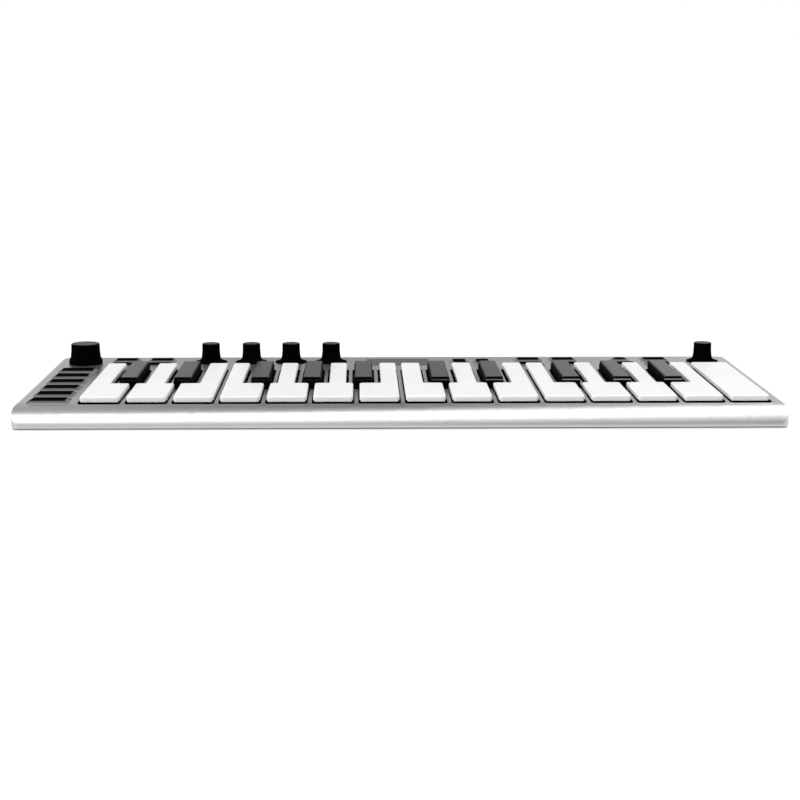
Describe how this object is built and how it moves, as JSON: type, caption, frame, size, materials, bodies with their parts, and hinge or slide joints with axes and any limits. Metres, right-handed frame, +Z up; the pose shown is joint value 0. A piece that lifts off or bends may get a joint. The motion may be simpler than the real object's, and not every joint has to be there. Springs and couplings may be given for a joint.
{
  "type": "keyboard synthesizer",
  "caption": "Slim desktop synthesizer: a satin aluminium slab with hinged piano keys, a side column and rear strip of buttons, turning knobs and a small dark display.",
  "frame": {"origin": "on the standing surface, under the middle of the body", "axes": "+X to the player's right along the keyboard, +Y to the back, +Z up"},
  "size_m": [0.388, 0.158, 0.0244],
  "materials": {
    "aluminium_body": "satin, bead blasted",
    "white_keys": "semi gloss",
    "black_keys": "satin",
    "knobs": "matte",
    "buttons": "matte black tops on silver flanks",
    "display": "gloss",
    "inner_frame": "matte",
    "steel": "plain",
    "board": "satin",
    "feet": "matte"
  },
  "bodies": {
    "chassis": {"top_housing": "aluminium_body", "bottom_cover": "aluminium_body", "key_frame": "inner_frame", "hinge_rod": "steel", "rear_sockets": "inner_frame", "circuit_board": "board", "display_module": "display", "rubber_feet": "feet", "cover_screws": "steel"},
    "black_key_01": {"black_key_01": "black_keys"},
    "black_key_02": {"black_key_02": "black_keys"},
    "black_key_03": {"black_key_03": "black_keys"},
    "black_key_04": {"black_key_04": "black_keys"},
    "black_key_05": {"black_key_05": "black_keys"},
    "black_key_06": {"black_key_06": "black_keys"},
    "black_key_07": {"black_key_07": "black_keys"},
    "black_key_08": {"black_key_08": "black_keys"},
    "black_key_09": {"black_key_09": "black_keys"},
    "black_key_10": {"black_key_10": "black_keys"},
    "control_knob_1": {"control_knob_1": "knobs"},
    "control_knob_2": {"control_knob_2": "knobs"},
    "control_knob_3": {"control_knob_3": "knobs"},
    "control_knob_4": {"control_knob_4": "knobs"},
    "control_knob_5": {"control_knob_5": "knobs"},
    "main_knob": {"main_knob": "knobs"},
    "menu_button_1": {"menu_button_1": "buttons"},
    "menu_button_2": {"menu_button_2": "buttons"},
    "rear_button_1": {"rear_button_1": "buttons"},
    "rear_button_10": {"rear_button_10": "buttons"},
    "rear_button_11": {"rear_button_11": "buttons"},
    "rear_button_2": {"rear_button_2": "buttons"},
    "rear_button_3": {"rear_button_3": "buttons"},
    "rear_button_4": {"rear_button_4": "buttons"},
    "rear_button_5": {"rear_button_5": "buttons"},
    "rear_button_6": {"rear_button_6": "buttons"},
    "rear_button_7": {"rear_button_7": "buttons"},
    "rear_button_8": {"rear_button_8": "buttons"},
    "rear_button_9": {"rear_button_9": "buttons"},
    "round_button": {"round_button": "buttons"},
    "side_button_1": {"side_button_1": "buttons"},
    "side_button_2": {"side_button_2": "buttons"},
    "side_button_3": {"side_button_3": "buttons"},
    "side_button_4": {"side_button_4": "buttons"},
    "side_button_5": {"side_button_5": "buttons"},
    "side_button_6": {"side_button_6": "buttons"},
    "white_key_01": {"white_key_01": "white_keys"},
    "white_key_02": {"white_key_02": "white_keys"},
    "white_key_03": {"white_key_03": "white_keys"},
    "white_key_04": {"white_key_04": "white_keys"},
    "white_key_05": {"white_key_05": "white_keys"},
    "white_key_06": {"white_key_06": "white_keys"},
    "white_key_07": {"white_key_07": "white_keys"},
    "white_key_08": {"white_key_08": "white_keys"},
    "white_key_09": {"white_key_09": "white_keys"},
    "white_key_10": {"white_key_10": "white_keys"},
    "white_key_11": {"white_key_11": "white_keys"},
    "white_key_12": {"white_key_12": "white_keys"},
    "white_key_13": {"white_key_13": "white_keys"},
    "white_key_14": {"white_key_14": "white_keys"},
    "white_key_15": {"white_key_15": "white_keys"}
  },
  "joints": [
    {"name": "black_key_01_hinge", "type": "hinge", "parent": "chassis", "child": "black_key_01", "pos_m": [0, 0.0375, 0.0082], "axis": [1, 0, 0], "range_deg": [0, 2.45], "stiffness_Nm_per_rad": 1, "springref_deg": -1.72},
    {"name": "black_key_02_hinge", "type": "hinge", "parent": "chassis", "child": "black_key_02", "pos_m": [0, 0.0375, 0.0082], "axis": [1, 0, 0], "range_deg": [0, 2.45], "stiffness_Nm_per_rad": 1, "springref_deg": -1.72},
    {"name": "black_key_03_hinge", "type": "hinge", "parent": "chassis", "child": "black_key_03", "pos_m": [0, 0.0375, 0.0082], "axis": [1, 0, 0], "range_deg": [0, 2.45], "stiffness_Nm_per_rad": 1, "springref_deg": -1.72},
    {"name": "black_key_04_hinge", "type": "hinge", "parent": "chassis", "child": "black_key_04", "pos_m": [0, 0.0375, 0.0082], "axis": [1, 0, 0], "range_deg": [0, 2.45], "stiffness_Nm_per_rad": 1, "springref_deg": -1.72},
    {"name": "black_key_05_hinge", "type": "hinge", "parent": "chassis", "child": "black_key_05", "pos_m": [0, 0.0375, 0.0082], "axis": [1, 0, 0], "range_deg": [0, 2.45], "stiffness_Nm_per_rad": 1, "springref_deg": -1.72},
    {"name": "black_key_06_hinge", "type": "hinge", "parent": "chassis", "child": "black_key_06", "pos_m": [0, 0.0375, 0.0082], "axis": [1, 0, 0], "range_deg": [0, 2.45], "stiffness_Nm_per_rad": 1, "springref_deg": -1.72},
    {"name": "black_key_07_hinge", "type": "hinge", "parent": "chassis", "child": "black_key_07", "pos_m": [0, 0.0375, 0.0082], "axis": [1, 0, 0], "range_deg": [0, 2.45], "stiffness_Nm_per_rad": 1, "springref_deg": -1.72},
    {"name": "black_key_08_hinge", "type": "hinge", "parent": "chassis", "child": "black_key_08", "pos_m": [0, 0.0375, 0.0082], "axis": [1, 0, 0], "range_deg": [0, 2.45], "stiffness_Nm_per_rad": 1, "springref_deg": -1.72},
    {"name": "black_key_09_hinge", "type": "hinge", "parent": "chassis", "child": "black_key_09", "pos_m": [0, 0.0375, 0.0082], "axis": [1, 0, 0], "range_deg": [0, 2.45], "stiffness_Nm_per_rad": 1, "springref_deg": -1.72},
    {"name": "black_key_10_hinge", "type": "hinge", "parent": "chassis", "child": "black_key_10", "pos_m": [0, 0.0375, 0.0082], "axis": [1, 0, 0], "range_deg": [0, 2.45], "stiffness_Nm_per_rad": 1, "springref_deg": -1.72},
    {"name": "control_knob_1_turn", "type": "hinge", "parent": "chassis", "child": "control_knob_1", "pos_m": [-0.1063, 0.0602, 0.0127], "axis": [0, 0, 1], "range_deg": [-150, 150]},
    {"name": "control_knob_2_turn", "type": "hinge", "parent": "chassis", "child": "control_knob_2", "pos_m": [-0.0831, 0.0602, 0.0127], "axis": [0, 0, 1], "range_deg": [-150, 150]},
    {"name": "control_knob_3_turn", "type": "hinge", "parent": "chassis", "child": "control_knob_3", "pos_m": [-0.06035, 0.0602, 0.0127], "axis": [0, 0, 1], "range_deg": [-150, 150]},
    {"name": "control_knob_4_turn", "type": "hinge", "parent": "chassis", "child": "control_knob_4", "pos_m": [-0.03735, 0.0602, 0.0127], "axis": [0, 0, 1], "range_deg": [-150, 150]},
    {"name": "control_knob_5_turn", "type": "hinge", "parent": "chassis", "child": "control_knob_5", "pos_m": [0.1774, 0.0602, 0.0127], "axis": [0, 0, 1], "range_deg": [-150, 150]},
    {"name": "main_knob_turn", "type": "hinge", "parent": "chassis", "child": "main_knob", "pos_m": [-0.1775, 0.0565, 0.0127], "axis": [0, 0, 1], "continuous": true},
    {"name": "menu_button_1_press", "type": "slide", "parent": "chassis", "child": "menu_button_1", "axis": [0, 0, -1], "range_m": [0, 0.0006], "stiffness_N_per_m": 800, "springref_m": -0.0005},
    {"name": "menu_button_2_press", "type": "slide", "parent": "chassis", "child": "menu_button_2", "axis": [0, 0, -1], "range_m": [0, 0.0006], "stiffness_N_per_m": 800, "springref_m": -0.0005},
    {"name": "rear_button_1_press", "type": "slide", "parent": "chassis", "child": "rear_button_1", "axis": [0, 0, -1], "range_m": [0, 0.0006], "stiffness_N_per_m": 800, "springref_m": -0.0005},
    {"name": "rear_button_10_press", "type": "slide", "parent": "chassis", "child": "rear_button_10", "axis": [0, 0, -1], "range_m": [0, 0.0006], "stiffness_N_per_m": 800, "springref_m": -0.0005},
    {"name": "rear_button_11_press", "type": "slide", "parent": "chassis", "child": "rear_button_11", "axis": [0, 0, -1], "range_m": [0, 0.0006], "stiffness_N_per_m": 800, "springref_m": -0.0005},
    {"name": "rear_button_2_press", "type": "slide", "parent": "chassis", "child": "rear_button_2", "axis": [0, 0, -1], "range_m": [0, 0.0006], "stiffness_N_per_m": 800, "springref_m": -0.0005},
    {"name": "rear_button_3_press", "type": "slide", "parent": "chassis", "child": "rear_button_3", "axis": [0, 0, -1], "range_m": [0, 0.0006], "stiffness_N_per_m": 800, "springref_m": -0.0005},
    {"name": "rear_button_4_press", "type": "slide", "parent": "chassis", "child": "rear_button_4", "axis": [0, 0, -1], "range_m": [0, 0.0006], "stiffness_N_per_m": 800, "springref_m": -0.0005},
    {"name": "rear_button_5_press", "type": "slide", "parent": "chassis", "child": "rear_button_5", "axis": [0, 0, -1], "range_m": [0, 0.0006], "stiffness_N_per_m": 800, "springref_m": -0.0005},
    {"name": "rear_button_6_press", "type": "slide", "parent": "chassis", "child": "rear_button_6", "axis": [0, 0, -1], "range_m": [0, 0.0006], "stiffness_N_per_m": 800, "springref_m": -0.0005},
    {"name": "rear_button_7_press", "type": "slide", "parent": "chassis", "child": "rear_button_7", "axis": [0, 0, -1], "range_m": [0, 0.0006], "stiffness_N_per_m": 800, "springref_m": -0.0005},
    {"name": "rear_button_8_press", "type": "slide", "parent": "chassis", "child": "rear_button_8", "axis": [0, 0, -1], "range_m": [0, 0.0006], "stiffness_N_per_m": 800, "springref_m": -0.0005},
    {"name": "rear_button_9_press", "type": "slide", "parent": "chassis", "child": "rear_button_9", "axis": [0, 0, -1], "range_m": [0, 0.0006], "stiffness_N_per_m": 800, "springref_m": -0.0005},
    {"name": "round_button_press", "type": "slide", "parent": "chassis", "child": "round_button", "axis": [0, 0, -1], "range_m": [0, 0.0006], "stiffness_N_per_m": 800, "springref_m": -0.0005},
    {"name": "side_button_1_press", "type": "slide", "parent": "chassis", "child": "side_button_1", "axis": [0, 0, -1], "range_m": [0, 0.0006], "stiffness_N_per_m": 800, "springref_m": -0.0005},
    {"name": "side_button_2_press", "type": "slide", "parent": "chassis", "child": "side_button_2", "axis": [0, 0, -1], "range_m": [0, 0.0006], "stiffness_N_per_m": 800, "springref_m": -0.0005},
    {"name": "side_button_3_press", "type": "slide", "parent": "chassis", "child": "side_button_3", "axis": [0, 0, -1], "range_m": [0, 0.0006], "stiffness_N_per_m": 800, "springref_m": -0.0005},
    {"name": "side_button_4_press", "type": "slide", "parent": "chassis", "child": "side_button_4", "axis": [0, 0, -1], "range_m": [0, 0.0006], "stiffness_N_per_m": 800, "springref_m": -0.0005},
    {"name": "side_button_5_press", "type": "slide", "parent": "chassis", "child": "side_button_5", "axis": [0, 0, -1], "range_m": [0, 0.0006], "stiffness_N_per_m": 800, "springref_m": -0.0005},
    {"name": "side_button_6_press", "type": "slide", "parent": "chassis", "child": "side_button_6", "axis": [0, 0, -1], "range_m": [0, 0.0006], "stiffness_N_per_m": 800, "springref_m": -0.0005},
    {"name": "white_key_01_hinge", "type": "hinge", "parent": "chassis", "child": "white_key_01", "pos_m": [0, 0.0375, 0.0082], "axis": [1, 0, 0], "range_deg": [0, 1.46], "stiffness_Nm_per_rad": 1, "springref_deg": -1.72},
    {"name": "white_key_02_hinge", "type": "hinge", "parent": "chassis", "child": "white_key_02", "pos_m": [0, 0.0375, 0.0082], "axis": [1, 0, 0], "range_deg": [0, 1.46], "stiffness_Nm_per_rad": 1, "springref_deg": -1.72},
    {"name": "white_key_03_hinge", "type": "hinge", "parent": "chassis", "child": "white_key_03", "pos_m": [0, 0.0375, 0.0082], "axis": [1, 0, 0], "range_deg": [0, 1.46], "stiffness_Nm_per_rad": 1, "springref_deg": -1.72},
    {"name": "white_key_04_hinge", "type": "hinge", "parent": "chassis", "child": "white_key_04", "pos_m": [0, 0.0375, 0.0082], "axis": [1, 0, 0], "range_deg": [0, 1.46], "stiffness_Nm_per_rad": 1, "springref_deg": -1.72},
    {"name": "white_key_05_hinge", "type": "hinge", "parent": "chassis", "child": "white_key_05", "pos_m": [0, 0.0375, 0.0082], "axis": [1, 0, 0], "range_deg": [0, 1.46], "stiffness_Nm_per_rad": 1, "springref_deg": -1.72},
    {"name": "white_key_06_hinge", "type": "hinge", "parent": "chassis", "child": "white_key_06", "pos_m": [0, 0.0375, 0.0082], "axis": [1, 0, 0], "range_deg": [0, 1.46], "stiffness_Nm_per_rad": 1, "springref_deg": -1.72},
    {"name": "white_key_07_hinge", "type": "hinge", "parent": "chassis", "child": "white_key_07", "pos_m": [0, 0.0375, 0.0082], "axis": [1, 0, 0], "range_deg": [0, 1.46], "stiffness_Nm_per_rad": 1, "springref_deg": -1.72},
    {"name": "white_key_08_hinge", "type": "hinge", "parent": "chassis", "child": "white_key_08", "pos_m": [0, 0.0375, 0.0082], "axis": [1, 0, 0], "range_deg": [0, 1.46], "stiffness_Nm_per_rad": 1, "springref_deg": -1.72},
    {"name": "white_key_09_hinge", "type": "hinge", "parent": "chassis", "child": "white_key_09", "pos_m": [0, 0.0375, 0.0082], "axis": [1, 0, 0], "range_deg": [0, 1.46], "stiffness_Nm_per_rad": 1, "springref_deg": -1.72},
    {"name": "white_key_10_hinge", "type": "hinge", "parent": "chassis", "child": "white_key_10", "pos_m": [0, 0.0375, 0.0082], "axis": [1, 0, 0], "range_deg": [0, 1.46], "stiffness_Nm_per_rad": 1, "springref_deg": -1.72},
    {"name": "white_key_11_hinge", "type": "hinge", "parent": "chassis", "child": "white_key_11", "pos_m": [0, 0.0375, 0.0082], "axis": [1, 0, 0], "range_deg": [0, 1.46], "stiffness_Nm_per_rad": 1, "springref_deg": -1.72},
    {"name": "white_key_12_hinge", "type": "hinge", "parent": "chassis", "child": "white_key_12", "pos_m": [0, 0.0375, 0.0082], "axis": [1, 0, 0], "range_deg": [0, 1.46], "stiffness_Nm_per_rad": 1, "springref_deg": -1.72},
    {"name": "white_key_13_hinge", "type": "hinge", "parent": "chassis", "child": "white_key_13", "pos_m": [0, 0.0375, 0.0082], "axis": [1, 0, 0], "range_deg": [0, 1.46], "stiffness_Nm_per_rad": 1, "springref_deg": -1.72},
    {"name": "white_key_14_hinge", "type": "hinge", "parent": "chassis", "child": "white_key_14", "pos_m": [0, 0.0375, 0.0082], "axis": [1, 0, 0], "range_deg": [0, 1.46], "stiffness_Nm_per_rad": 1, "springref_deg": -1.72},
    {"name": "white_key_15_hinge", "type": "hinge", "parent": "chassis", "child": "white_key_15", "pos_m": [0, 0.0375, 0.0082], "axis": [1, 0, 0], "range_deg": [0, 1.46], "stiffness_Nm_per_rad": 1, "springref_deg": -1.72}
  ]
}
